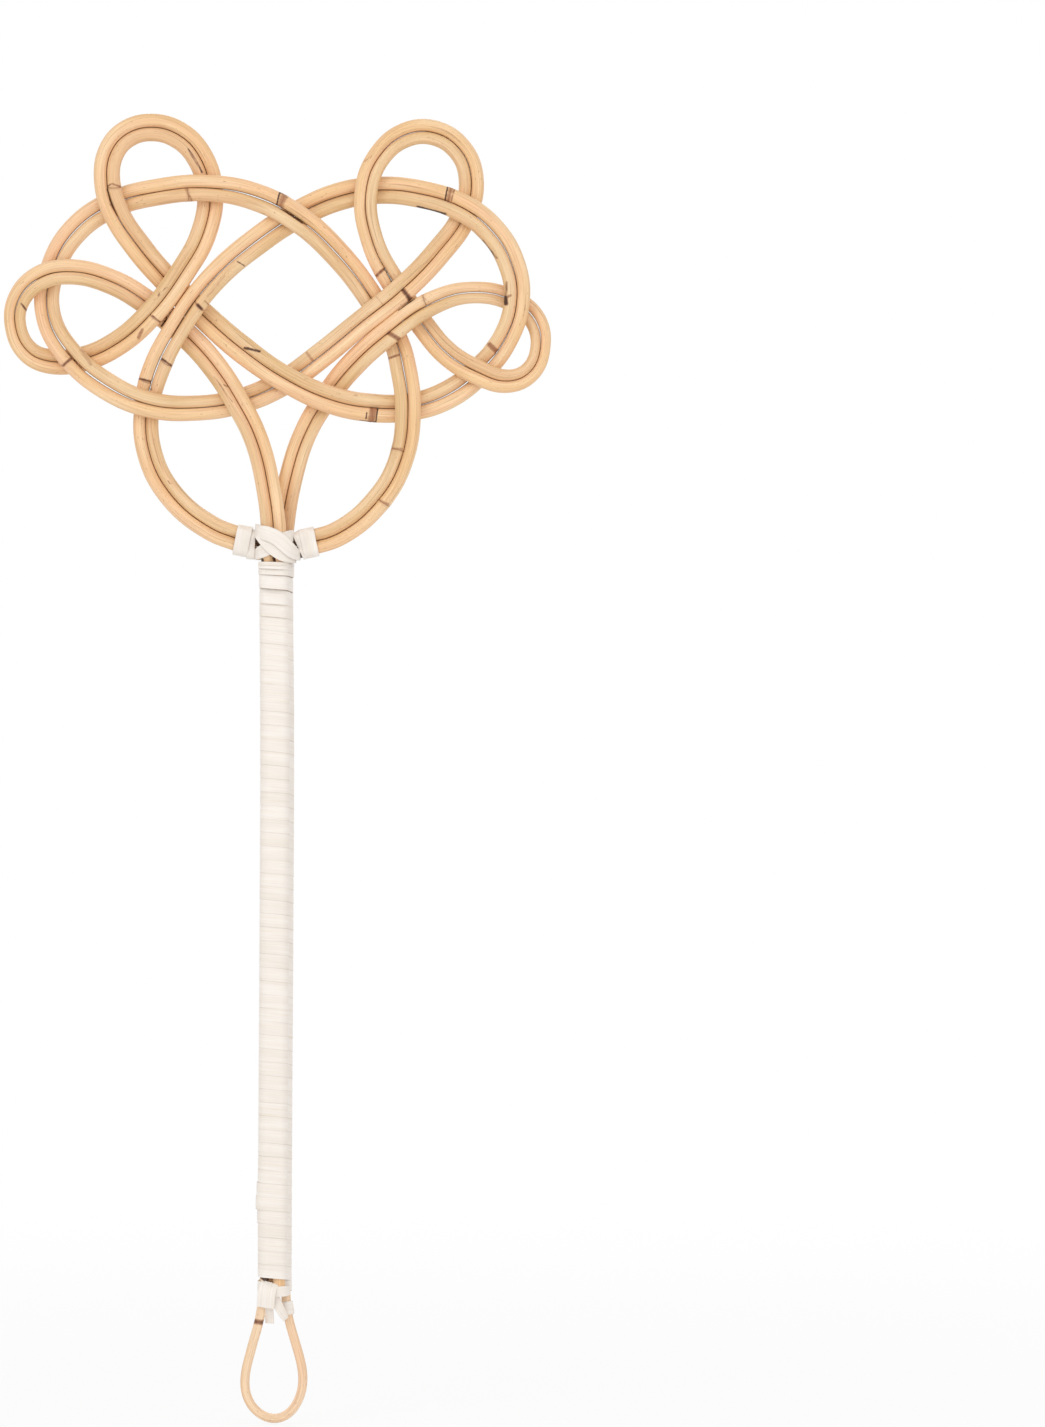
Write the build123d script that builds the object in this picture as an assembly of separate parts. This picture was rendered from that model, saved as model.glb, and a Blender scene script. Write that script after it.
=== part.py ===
from build123d import *
import math
import os

# A carpet beater: two long canes woven side by side into a knotted head, a bound handle and a
# hanging loop. Millimetres, +Z up towards the head, the front looks along -Y, and the origin is
# the middle of the grip.

# Driving sizes
head_width = 271.4
head_height = 215.1
throat_height = 184.8
handle_length = 366.5
loop_drop = 68.4

# The two canes of the knot
cane_diameter = 6.1
cane_sides = 7
pair_gap = 0.25
weave_gap = 0.7
butt_gap = 0.3
arc_share = 0.45

# The four cane ends in the handle
bundle_stagger = 1.0
bundle_top_drop = 20.3
throat_gap = 1.1
throat_half_height = 8.5
throat_shift = 3.6
throat_low_shift = 2.0
tuck_length = 45.0

# The thinner cane of the hanging loop
loop_cane_diameter = 4.5
loop_cane_sides = 7
loop_width = 33.0
leg_end_gap = 0.4
leg_bend_height = 7.0

# The flat strip that binds it all
strip_thickness = 0.6
strip_gap = 0.6
wrap_clearance = 0.15
facet_count = 8
binding_pitch = 4.4
grip_turns = 24
grip_foot_height = 5.0
grip_top_gap = 0.6
throat_turns = 1.25
throat_binding_drop = 10.3
collar_turns = 1.25
left_collar_clearance = 1.3
right_collar_clearance = 3.5
collar_bow = 0.3
lashing_turns = 1
corner_clearance = 2.25
lashing_ease = 0.45
ring_rise_high = 1.9
ring_rise_low = 0.9
base_turns = 2
base_gap = 0.8
base_leg_spread = 7.0
base_leg_depth = 1.5

# What follows from them
pair_spacing = cane_diameter + pair_gap
pair_half_width = (pair_spacing + cane_diameter) / 2
lift = (cane_diameter + weave_gap) / 2
throat_depth = cane_diameter + throat_gap
bundle_half_depth = math.sqrt(pair_spacing**2 - (2 * bundle_stagger) ** 2) / 2
handle_end = throat_height - handle_length
bundle_top = throat_height - bundle_top_drop
tuck_height = handle_end + tuck_length

# The pair's way through the head, as shares of the head's width from its axis, of its height
# from the ring's foot, and of the weave's lift: 1 lies in front of the strand it crosses, -1 behind
left_leg_shares = [
    (-0.015, 0.133, 1.30),
    (-0.035, 0.248, 1.00),
    (-0.068, 0.338, 1.10),
    (-0.108, 0.414, 0.20),
    (-0.155, 0.481, -1.00),
]
lower_left_loop_shares = [
    (-0.239, 0.566, -1.00),
    (-0.302, 0.612, -0.30),
    (-0.375, 0.636, 0.80),
    (-0.430, 0.622, 1.10),
    (-0.466, 0.573, 0.40),
    (-0.473, 0.513, -0.20),
    (-0.448, 0.452, -0.90),
    (-0.411, 0.430, -1.10),
    (-0.356, 0.436, -1.10),
    (-0.298, 0.467, -0.30),
    (-0.234, 0.532, 1.05),
]
upper_left_loop_shares = [
    (-0.168, 0.640, 1.05),
    (-0.131, 0.728, 0.10),
    (-0.120, 0.829, -1.10),
    (-0.143, 0.908, -0.50),
    (-0.177, 0.953, -0.10),
    (-0.225, 0.970, 0.10),
    (-0.274, 0.956, 0.40),
    (-0.303, 0.912, 0.80),
    (-0.311, 0.848, 1.10),
    (-0.293, 0.774, 1.05),
    (-0.249, 0.691, 0.00),
    (-0.203, 0.624, -1.00),
]
right_ring_shares = [
    (-0.130, 0.534, -1.00),
    (-0.060, 0.458, 0.10),
    (0.018, 0.389, 1.10),
    (0.106, 0.337, 1.05),
    (0.174, 0.322, 0.00),
    (0.243, 0.324, -1.10),
    (0.311, 0.348, -0.80),
    (0.375, 0.409, -1.10),
    (0.420, 0.479, 0.00),
    (0.444, 0.571, 1.10),
    (0.433, 0.659, 0.90),
    (0.397, 0.734, 0.90),
    (0.346, 0.781, 1.10),
    (0.265, 0.814, 0.00),
    (0.188, 0.825, -1.00),
    (0.119, 0.811, -1.00),
    (0.042, 0.774, -1.15),
    (-0.031, 0.719, -0.35),
]
left_side_shares = [
    (-0.119, 0.615, 1.05),
    (-0.186, 0.495, 1.05),
    (-0.221, 0.409, 0.00),
    (-0.234, 0.324, -1.10),
    (-0.227, 0.223, -0.40),
    (-0.188, 0.128, 0.00),
    (-0.113, 0.044, 0.00),
]
left_foot_shares = [
    (-0.066, 0.017, 0.00),
    (-0.027, 0.000, 0.00),
]
right_foot_shares = [
    (0.027, 0.000, 0.00),
    (0.068, 0.014, 0.00),
]
right_side_shares = [
    (0.113, 0.031, 0.00),
    (0.188, 0.105, 0.00),
    (0.230, 0.202, 0.30),
    (0.245, 0.322, 1.10),
    (0.237, 0.414, 0.30),
    (0.221, 0.476, -1.00),
]
left_ring_shares = [
    (0.176, 0.576, -1.00),
    (0.115, 0.677, -0.20),
    (0.042, 0.758, 1.05),
    (-0.037, 0.807, 0.90),
    (-0.119, 0.829, 1.10),
    (-0.210, 0.824, 0.10),
    (-0.302, 0.795, -1.10),
    (-0.373, 0.728, -0.90),
    (-0.410, 0.640, -1.10),
    (-0.415, 0.543, -0.30),
    (-0.375, 0.444, 1.10),
    (-0.307, 0.370, 0.90),
    (-0.229, 0.329, 1.10),
    (-0.146, 0.323, 0.00),
    (-0.066, 0.338, -1.10),
    (0.016, 0.381, -1.10),
    (0.086, 0.439, 0.00),
]
upper_right_loop_shares = [
    (0.154, 0.517, 1.05),
    (0.235, 0.595, 1.05),
    (0.298, 0.679, 0.00),
    (0.347, 0.772, -1.10),
    (0.356, 0.859, -0.60),
    (0.336, 0.919, -0.10),
    (0.293, 0.957, 0.00),
    (0.239, 0.955, 0.20),
    (0.190, 0.908, 0.60),
    (0.164, 0.820, 1.10),
    (0.176, 0.709, 0.20),
]
lower_right_loop_shares = [
    (0.216, 0.612, -1.00),
    (0.268, 0.516, -1.00),
    (0.318, 0.444, 0.20),
    (0.373, 0.401, 1.10),
    (0.420, 0.383, 0.70),
    (0.464, 0.404, 0.10),
    (0.485, 0.463, -0.50),
    (0.476, 0.527, -1.00),
    (0.437, 0.569, -1.10),
    (0.358, 0.589, -0.10),
]
right_leg_shares = [
    (0.285, 0.563, 1.05),
    (0.203, 0.488, 1.05),
    (0.141, 0.421, 0.00),
    (0.099, 0.356, -1.10),
    (0.055, 0.266, -1.00),
    (0.030, 0.156, -1.30),
]
left_length_shares = (
    left_leg_shares
    + lower_left_loop_shares
    + upper_left_loop_shares
    + right_ring_shares
    + left_side_shares
    + left_foot_shares
)
right_length_shares = (
    right_foot_shares
    + right_side_shares
    + left_ring_shares
    + upper_right_loop_shares
    + lower_right_loop_shares
    + right_leg_shares
)

# The hanging loop's way from the left leg round to the right one, as shares across, down and over
loop_shares = [
    (-0.22, 0.14, 0.30),
    (-0.38, 0.40, 0.00),
    (-0.51, 0.66, 0.00),
    (-0.47, 0.87, 0.00),
    (-0.27, 0.98, 0.00),
    (0.00, 1.00, 0.00),
    (0.24, 0.98, 0.00),
    (0.44, 0.87, 0.00),
    (0.49, 0.66, 0.00),
    (0.36, 0.40, 0.00),
    (0.20, 0.14, -0.30),
]


def head_place(row):
    """A place on the line between the two canes, from its shares across, up and over."""
    across_share, up_share, over_share = row
    across = across_share * head_width
    up = throat_height + up_share * head_height
    return Vector(across, -over_share * lift, up)


def loop_place(row):
    """A place on the hanging loop's centre line."""
    across_share, down_share, over_share = row
    across = across_share * (loop_width - loop_cane_diameter)
    down = handle_end - down_share * (loop_drop - loop_cane_diameter / 2)
    return Vector(across, -over_share * bundle_half_depth, down)


def left_places(foot):
    """The way of the pair's left length, from its front end in the handle to the joint at the ring's foot."""
    leg = [
        Vector(-bundle_stagger, -bundle_half_depth, foot),
        Vector(-bundle_stagger, -bundle_half_depth, bundle_top),
        Vector(-bundle_stagger, -throat_depth, throat_height - throat_half_height),
        Vector(-bundle_stagger, -throat_depth, throat_height + throat_half_height),
    ]
    return leg + [head_place(row) for row in left_length_shares] + [Vector(-butt_gap / 2, 0, throat_height)]


def right_places(foot):
    """The way of the pair's right length, from the joint at the ring's foot to its back end in the handle."""
    leg = [
        Vector(throat_shift, throat_depth, throat_height + throat_half_height),
        Vector(throat_low_shift, throat_depth, throat_height - throat_half_height),
        Vector(bundle_stagger, bundle_half_depth, bundle_top),
        Vector(bundle_stagger, bundle_half_depth, foot),
    ]
    return [Vector(butt_gap / 2, 0, throat_height)] + [head_place(row) for row in right_length_shares] + leg


def shifted(places, side):
    """The same way, moved sideways in the plane of the head: side is +1 for the left of the way."""
    moved = []
    for index, here in enumerate(places):
        before = places[max(index - 1, 0)]
        after = places[min(index + 1, len(places) - 1)]
        along = Vector(after.X - before.X, 0, after.Z - before.Z).normalized()
        left = Vector(-along.Z, 0, along.X)
        moved.append(here + left * (side * pair_spacing / 2))
    return moved


def bends(places):
    """Half of the turn at each inner place, in radians, and the shorter of its two runs."""
    found = []
    for before, here, after in zip(places, places[1:], places[2:]):
        come = here - before
        go = after - here
        half_turn = math.radians(come.get_angle(go)) / 2
        found.append((half_turn, min(come.length, go.length)))
    return found


def bent_path(places):
    """Straight runs and large tangent arcs through the places; a corner stands out by what its arc cuts off.

    The first and the last corner stay, so that the ends in the handle stay upright.
    """
    corners = [places[0]]
    turns = bends(places)
    for index, (half_turn, run) in enumerate(turns):
        before, here, after = places[index:index + 3]
        inward = (after - here).normalized() - (here - before).normalized()
        cut = arc_share * run * math.tan(half_turn / 2)
        if index in (0, len(turns) - 1):
            cut = 0
        corners.append(here - inward.normalized() * cut)
    corners.append(places[-1])
    radii = [arc_share * run / math.tan(half_turn) for half_turn, run in bends(corners)]
    return FilletPolyline(*corners, radius=radii), min(radii)


def cane(name, places, diameter, sides):
    """One cane of many narrow flats, its corners on the round of the real one."""
    path, tightest = bent_path(places)
    start = Plane(origin=path @ 0, x_dir=(1, 0, 0), z_dir=path % 0)
    section = start * RegularPolygon(diameter / 2, sides)
    solid = sweep(section, path=path)
    share = solid.volume / (section.area * path.length)
    print(name, "length", round(path.length, 1), "tightest bend", round(tightest, 1), "volume share", round(share, 4))
    return solid


def hanging_loop():
    """The thin cane's teardrop, its legs side by side with the ends of the outer cane."""
    across = bundle_stagger + pair_half_width - loop_cane_diameter / 2
    leg_top = tuck_height - leg_end_gap
    leg_foot = handle_end + leg_bend_height
    left = [Vector(-across, -bundle_half_depth, leg_top), Vector(-across, -bundle_half_depth, leg_foot)]
    right = [Vector(across, bundle_half_depth, leg_foot), Vector(across, bundle_half_depth, leg_top)]
    places = left + [loop_place(row) for row in loop_shares] + right
    return cane("hanging_loop", places, loop_cane_diameter, loop_cane_sides)


def facet_corners(centres, reach):
    """Corners of the many-sided ring that stands off the given centres by reach."""
    step = 2 * math.pi / facet_count
    supports = []
    for index in range(facet_count):
        angle = index * step
        supports.append(max(x * math.cos(angle) + y * math.sin(angle) for x, y in centres) + reach)
    corners = []
    for index in range(facet_count):
        angle = index * step
        here = supports[index]
        there = supports[(index + 1) % facet_count]
        x = (here * math.sin(angle + step) - there * math.sin(angle)) / math.sin(step)
        y = (there * math.cos(angle) - here * math.cos(angle + step)) / math.sin(step)
        corners.append((x, y))
    return corners


def strip_rings(frame, centres, reach, turns, pitch):
    """The strip's cross-sections, one at each facet's edge, from the back of the first turn on."""
    inner = facet_corners(centres, reach + wrap_clearance)
    outer = facet_corners(centres, reach + wrap_clearance + strip_thickness)
    half_width = (pitch - strip_gap) / 2
    first = facet_count // 4
    rings = []
    for index in range(round(turns * facet_count) + 1):
        place = (first - index) % facet_count
        rise = pitch * index / facet_count
        low = rise - half_width
        high = rise + half_width
        corners = [(*inner[place], low), (*outer[place], low), (*outer[place], high), (*inner[place], high)]
        rings.append([frame.from_local_coords(Vector(*corner)) for corner in corners])
    return rings


def strip_winding(name, frame, centres, reach, turns, pitch):
    """A flat strip wound round the given centres as one unbroken ribbon, lying flat on each facet."""
    rings = strip_rings(frame, centres, reach, turns, pitch)
    outlines = [rings[0], rings[-1][::-1]]
    for here, there in zip(rings, rings[1:]):
        outlines.append([here[1], here[2], there[2], there[1]])
        outlines.append([here[0], there[0], there[3], here[3]])
        outlines.append([here[0], here[1], there[1]])
        outlines.append([here[0], there[1], there[0]])
        outlines.append([here[3], there[3], there[2]])
        outlines.append([here[3], there[2], here[2]])
    faces = [Face(Wire.make_polygon(outline, close=True)) for outline in outlines]
    solid = Solid(Shell(faces))
    gaps = [(later[1] - earlier[2]).length for earlier, later in zip(rings, rings[facet_count:])]
    print(name, "turns", turns, "least gap to itself", round(min(gaps, default=0), 2), "volume", round(solid.volume, 1))
    return solid


def bundle_centres(left_across, right_across, depth):
    """Centres of the front pair and the back pair, seen along the handle."""
    half = pair_spacing / 2
    front = [(left_across - half, -depth), (left_across + half, -depth)]
    back = [(right_across - half, depth), (right_across + half, depth)]
    return front + back


def grip_winding():
    """The long binding of the grip, its turns spread evenly over the bundle."""
    foot = handle_end + grip_foot_height
    top = bundle_top - grip_top_gap
    pitch = (top - foot + strip_gap) / (grip_turns + 1)
    frame = Plane(origin=(0, 0, foot + (pitch - strip_gap) / 2))
    centres = bundle_centres(-bundle_stagger, bundle_stagger, bundle_half_depth)
    return strip_winding("grip_winding", frame, centres, cane_diameter / 2, grip_turns, pitch)


def throat_binding():
    """The first turns under the crossing, round the four canes where they still stand apart."""
    top = throat_height - throat_binding_drop - (binding_pitch - strip_gap) / 2
    frame = Plane(origin=(0, 0, top - throat_turns * binding_pitch))
    centres = bundle_centres(-bundle_stagger, throat_low_shift, throat_depth)
    return strip_winding("throat_binding", frame, centres, cane_diameter / 2, throat_turns, binding_pitch)


def ring_collar(name, near_row, far_row, start_across):
    """The strip's turns round the two canes of the ring, from a distance across outwards."""
    near = head_place(near_row)
    far = head_place(far_row)
    along = (far - near).normalized()
    inner_edge = (start_across - abs(near.X)) / abs(along.X)
    origin = near + along * (inner_edge + (binding_pitch - strip_gap) / 2)
    frame = Plane(origin=origin, x_dir=(-along.Z, 0, along.X), z_dir=along)
    half = pair_spacing / 2
    reach = cane_diameter / 2 + collar_bow
    return strip_winding(name, frame, [(-half, 0), (half, 0)], reach, collar_turns, binding_pitch)


def cross_lashing(name, left_corner, right_corner, depth):
    """One slanting turn of the strip over the front and the back of the crossing, through two of its corners."""
    left = Vector(left_corner[0], 0, throat_height + left_corner[1])
    right = Vector(right_corner[0], 0, throat_height + right_corner[1])
    slant = (right - left).normalized()
    axis = Vector(-slant.Z, 0, slant.X)
    middle = (left + right) / 2 - axis * (lashing_turns * binding_pitch / 2)
    frame = Plane(origin=middle, x_dir=slant, z_dir=axis)
    reach = cane_diameter / 2
    half_length = (right - left).length / 2 - reach
    centres = [(-half_length, -depth), (half_length, -depth), (-half_length, depth), (half_length, depth)]
    return strip_winding(name, frame, centres, reach, lashing_turns, binding_pitch)


def base_binding():
    """The strip's turns round the hanging loop's two legs, just under the handle."""
    top = handle_end - base_gap - (binding_pitch - strip_gap) / 2
    frame = Plane(origin=(0, 0, top - base_turns * binding_pitch))
    centres = [(-base_leg_spread, -base_leg_depth), (base_leg_spread, base_leg_depth)]
    return strip_winding("base_binding", frame, centres, loop_cane_diameter / 2, base_turns, binding_pitch)


def write(name, solid):
    export_step(solid, os.path.join("parts", name + ".step"))


def main():
    os.makedirs("parts", exist_ok=True)
    for side, lie, foot in ((-1, "outer", handle_end), (1, "inner", tuck_height)):
        for hand, places in (("left", left_places(foot)), ("right", right_places(foot))):
            name = hand + "_" + lie + "_cane"
            write(name, cane(name, shifted(places, side), cane_diameter, cane_sides))
    write("hanging_loop", hanging_loop())
    write("grip_winding", grip_winding())
    write("throat_binding", throat_binding())
    left = -(bundle_stagger + pair_half_width + corner_clearance)
    high = pair_half_width + ring_rise_high + corner_clearance
    low = -(pair_half_width - ring_rise_low + corner_clearance)
    high_right = throat_shift + pair_half_width + corner_clearance
    low_right = throat_low_shift + pair_half_width + corner_clearance
    left_start = left_collar_clearance - left
    right_start = right_collar_clearance + high_right
    write("left_collar", ring_collar("left_collar", left_foot_shares[1], left_foot_shares[0], left_start))
    write("right_collar", ring_collar("right_collar", right_foot_shares[0], right_foot_shares[1], right_start))
    under_depth = throat_depth + lashing_ease
    over_depth = under_depth + strip_thickness + wrap_clearance
    write("rising_lashing", cross_lashing("rising_lashing", (left, low), (high_right, high), under_depth))
    write("falling_lashing", cross_lashing("falling_lashing", (left, high), (low_right, low), over_depth))
    write("base_binding", base_binding())


main()
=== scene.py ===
# %% [markdown]
# A woven carpet beater, piece by piece.
# The solids of the beater come in as a fixed frame, and this script dresses them. All lengths are
# metres. X runs across the flat head, Z runs up the handle, and the front looks along -Y.

# %% Load the frame
import math

import bpy
import numpy as np
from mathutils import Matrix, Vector
from mathutils.noise import noise


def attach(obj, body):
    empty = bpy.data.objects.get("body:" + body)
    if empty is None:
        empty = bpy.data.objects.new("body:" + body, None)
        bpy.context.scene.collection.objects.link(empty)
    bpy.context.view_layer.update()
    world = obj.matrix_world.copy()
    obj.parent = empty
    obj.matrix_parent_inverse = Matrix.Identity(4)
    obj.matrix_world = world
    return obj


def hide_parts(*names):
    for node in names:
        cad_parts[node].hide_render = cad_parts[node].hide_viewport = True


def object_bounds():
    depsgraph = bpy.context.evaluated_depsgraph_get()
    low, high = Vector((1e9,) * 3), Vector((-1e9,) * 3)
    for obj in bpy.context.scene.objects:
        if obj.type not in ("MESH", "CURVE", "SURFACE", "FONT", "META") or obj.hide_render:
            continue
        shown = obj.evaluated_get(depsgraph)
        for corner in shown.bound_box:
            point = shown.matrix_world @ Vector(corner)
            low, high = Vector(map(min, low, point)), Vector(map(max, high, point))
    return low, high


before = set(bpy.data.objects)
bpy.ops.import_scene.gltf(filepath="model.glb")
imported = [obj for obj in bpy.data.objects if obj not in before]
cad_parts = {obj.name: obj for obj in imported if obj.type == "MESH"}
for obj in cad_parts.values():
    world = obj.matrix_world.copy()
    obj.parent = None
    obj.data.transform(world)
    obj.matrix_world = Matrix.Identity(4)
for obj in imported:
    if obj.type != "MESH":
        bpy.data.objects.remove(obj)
cad_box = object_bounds()
mm = 0.001
print("solids", sorted(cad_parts))
print("box", [[round(value, 4) for value in corner] for corner in cad_box])

# %% [markdown]
# The beater lies flat in the picture, so a place on it is easy to name by the picture's own columns
# and rows. One pixel is about half a millimetre. The middle of the grip is the frame's origin.

# %% Places named by the picture
pixel = 0.4962 * mm
grip_column = 275
grip_row = 920
foot_row = 547.5


def across(column):
    return (column - grip_column) * pixel


def up(row):
    return (grip_row - row) * pixel


print("the ring's foot is", round(up(foot_row), 4), "above the middle of the grip")

# %% [markdown]
# The camera stands three metres away and has a long lens, so the handle hardly tapers. It looks
# straight along Y and isn't tilted.

# %% Camera
camera_place = Vector((0.1228, -3.0, 0.1025))
bpy.ops.object.camera_add(location=camera_place, rotation=(math.radians(90), 0, 0))
camera = bpy.context.object
camera.name = "camera"
camera.data.lens = 152.5
camera.data.sensor_width = 36
bpy.context.scene.camera = camera
print("camera at", tuple(round(value, 3) for value in camera.location))

# %% [markdown]
# The stage is a pale floor and nothing behind it, so the beater can be looked at from all round. The
# floor glows where the camera or a reflection sees it, which keeps it white, and still takes a soft
# shadow. The world is white where it is seen, and a softer grey where it lights.

# %% Floor, world and lamps
floor_size = 30
floor_gap = 0.4 * mm
bpy.ops.mesh.primitive_grid_add(size=floor_size, location=(0, 0, cad_box[0][2] - floor_gap))
floor = bpy.context.object
floor.name = "floor"
bpy.ops.object.transform_apply(location=True, rotation=False, scale=False)

light_level = 0.72
world = bpy.data.worlds.new("studio")
bpy.context.scene.world = world
world.use_nodes = True
world_nodes = world.node_tree.nodes
world_links = world.node_tree.links
seen = world_nodes.new("ShaderNodeLightPath")
any_view = seen.outputs["Is Camera Ray"]
for ray in ("Is Glossy Ray", "Is Transmission Ray"):
    either = world_nodes.new("ShaderNodeMath")
    either.operation = "MAXIMUM"
    world_links.new(any_view, either.inputs[0])
    world_links.new(seen.outputs[ray], either.inputs[1])
    any_view = either.outputs[0]
level = world_nodes.new("ShaderNodeMapRange")
level.inputs["To Min"].default_value = light_level
world_links.new(any_view, level.inputs["Value"])
background = world_nodes["Background"]
background.inputs["Color"].default_value = (1, 1, 1, 1)
world_links.new(level.outputs[0], background.inputs["Strength"])


def lamp(name, place, aim, size, power):
    """A large soft square lamp that looks at a point."""
    bpy.ops.object.light_add(type="AREA", location=place)
    light = bpy.context.object
    light.name = name
    light.data.size = size
    light.data.energy = power
    light.rotation_euler = (Vector(aim) - Vector(place)).to_track_quat("-Z", "Y").to_euler()


head_middle = (0, 0, up(330))
lamp("key_lamp", (-1.3, -1.8, 1.7), head_middle, 1.2, 13)
lamp("front_lamp", (0.5, -2.6, 0.1), (0, 0, 0), 1.6, 12)
lamp("fill_lamp", (1.7, -1.5, 0.6), head_middle, 1.4, 4)
lamp("back_lamp", (0.4, 2.0, 1.6), head_middle, 1.4, 8)

# %% [markdown]
# The head is one pair of rattan canes, bent while wet and woven into a knot. The way of the pair is
# what a weaver would draw first: a list of places, each with how far it lies to the front (+1) or to
# the back (-1) of the head. Two numbers in pixels follow where they aren't nothing: how much wider
# the pair is there than usual, and the slit of light between its canes. The pair comes out of the
# handle on the left, makes two loops, goes round one ring and ends under the binding. The other
# length starts there and does the same on the other side.

# %% The way of the pair
left_length_rows = [
    # the left leg, up from the binding
    (269, 490, 1.3, -1), (256.6, 440, 1, -1.2), (237.2, 401, 1.1, -0.6), (215.7, 368, 0.2),
    (190, 339, -1),
    # the lower left loop
    (145, 301, -1), (110.5, 281.2, -0.3), (70, 272, 0.8), (40.5, 278.2, 1.1, -0.6, 0.5),
    (19.4, 298.4, 0.4, -2.6, 0.4), (15, 325, -0.2, -4), (28.6, 352.6, -0.9, -2.4), (50, 361, -1.1),
    (80, 359, -1.1), (112.8, 346, -0.3), (148, 318, 1.05),
    # the upper left loop
    (184, 270.6, 1.05), (204, 232, 0.1, 0.8), (209.3, 188, -1.1, 1), (197.8, 153.7, -0.5, 1.6),
    (178.6, 134.7, -0.1, 2.2), (152.5, 127.2, 0.1, 2.4), (126.8, 134, 0.4, 2.2),
    (111.3, 152.4, 0.8, 1.4), (107.3, 180, 1.1, 1), (115.8, 212, 1.05, 1.6), (139.2, 248, 0, 2),
    (164, 277, -1, 0.8),
    # the right ring
    (204, 316, -1, 0.6), (241.7, 349, 0.1, 2.2), (285, 379, 1.1, 0.6), (333, 400.8, 1.05, 2.6),
    (370, 407.6, 0, 3.2), (408, 406.8, -1.1, 2.6), (445.2, 395.8, -0.8, 2.6, 0.7),
    (480.3, 369.8, -1.1, 1.2, 1.1), (504.5, 340, 0, 0.4, 0.3), (517, 300, 1.1, 0.6),
    (511, 262.4, 0.9, 1.7, 0.3), (491.2, 230.4, 0.9, 2, 0.8), (464, 209.2, 1.1, 2.6),
    (420, 193.9, 0, 2.6), (378, 189.5, -1, 2), (340, 195.4, -1, 2.8),
    (298.7, 213.2, -1.15, 2.2, 0.3), (260.2, 238.5, -0.35, 1.4, 1),
    # the left side, down to the binding
    (211.3, 282.1, 1.05, 0.8, 0.2), (174.6, 333.6, 1.05, 0, 0.8), (155.6, 370.5, 0, 1.5, 0.9),
    (146.2, 407, -1.1), (149, 451.5, -0.4), (169.8, 493.3, 0), (212, 528.7, 0), (239, 539.2, 0),
    (260, 547.5, 0),
]
right_length_rows = [
    # the right side, up from the binding
    (290, 547.5, 0), (312, 542, 0), (337, 534.3, 0), (377.3, 501.4, 0),
    (400.9, 460, 0.3, -0.4), (408.2, 408, 1.1, 0.8), (403.4, 368.3, 0.3, 0.4, 0.8), (396, 341, -1),
    # the left ring
    (371.5, 298.4, -1, 0.3), (337.6, 254.4, -0.2, 0.2, 1), (298, 219, 1.05, 1.6, 0.4),
    (255, 197, 0.9, 1.6, 0.9), (210, 188.7, 1.1, 1.4), (160, 191.6, 0.1, 1.4),
    (110.8, 204.3, -1.1, 1.2, 0.5), (72.2, 232.6, -0.9, 0.5, 0.7), (51.4, 270.5, -1.1, -0.2),
    (47.4, 312, -0.3, -0.4, 0.3), (70, 355, 1.1, 0.4, 1.1), (107.3, 386.6, 0.9, 1.4, 1),
    (150, 405, 1.1, 1), (195, 408, 0), (239, 400.8, -1.1), (283.7, 381.6, -1.1, 0.1, 0.6),
    (320.8, 355.7, 0, 0.5, 0.1),
    # the upper right loop
    (359.8, 324.2, 1.05, -0.6), (403.3, 289.3, 1.05, 0.6), (437.8, 253, 0, 0.6),
    (464.8, 213.3, -1.1), (471, 175.3, -0.6), (459.8, 149, -0.1, -0.2), (435, 132.8, 0),
    (406.6, 134.4, 0.2, -0.8, 0.5), (380.2, 155.5, 0.6, -2), (366.2, 192, 1.1, -2.2),
    (372, 240, 0.2, -2.6),
    # the lower right loop
    (393, 282, -1, -0.6), (422, 323.7, -1, -1.6, 0.3), (448.7, 355, 0.2, -1.6, 0.7), (479, 373.2, 1.1),
    (505.2, 381.6, 0.7, -1.6), (529, 373.2, 0.1, -4), (540.6, 347, -0.5, -5.4),
    (535.4, 319.4, -1, -4, 0.8), (514, 300.6, -1.1, -3.4, 0.3), (471, 292.3, -0.1, -4.4, 0.8),
    # the right leg, down to the binding
    (431.3, 304, 1.05, -2.2, 0.6), (385.6, 335.5, 1.05), (352.1, 365.2, 0), (329.1, 393, -1.1, -1),
    (305.4, 432, -1, -2), (289.8, 480, -1.3, -1.4),
]
cane_radius = 3.15 * mm
pair_spacing = 6.26 * mm
lift = 3.4 * mm
joint_gap = 0.3 * mm
foot_height = up(foot_row)
handle_end = foot_height - 366.5 * mm
tuck_height = handle_end + 45 * mm
bundle_top = foot_height - 20.3 * mm
bundle_depth = 3 * mm
bundle_stagger = 1 * mm
throat_depth = 7.2 * mm
throat_half_height = 8.5 * mm
throat_left = -0.4 * mm
throat_right = 2.8 * mm
throat_low_right = 1.6 * mm
throat_low = foot_height - throat_half_height
throat_high = foot_height + throat_half_height


def row_place(row):
    """A row's place, the slit between the canes there, and how thick they are beside the usual."""
    column, line, over, wider, slit = (*row, 0, 0)[:5]
    girth = 1 + wider * pixel / (4 * cane_radius)
    return Vector((across(column), -over * lift, up(line))), slit * pixel, girth


def plain_place(x, y, z):
    """A place under the binding, where there is no slit and the canes have their usual thickness."""
    return Vector((x, y, z)), 0, 1


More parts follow.
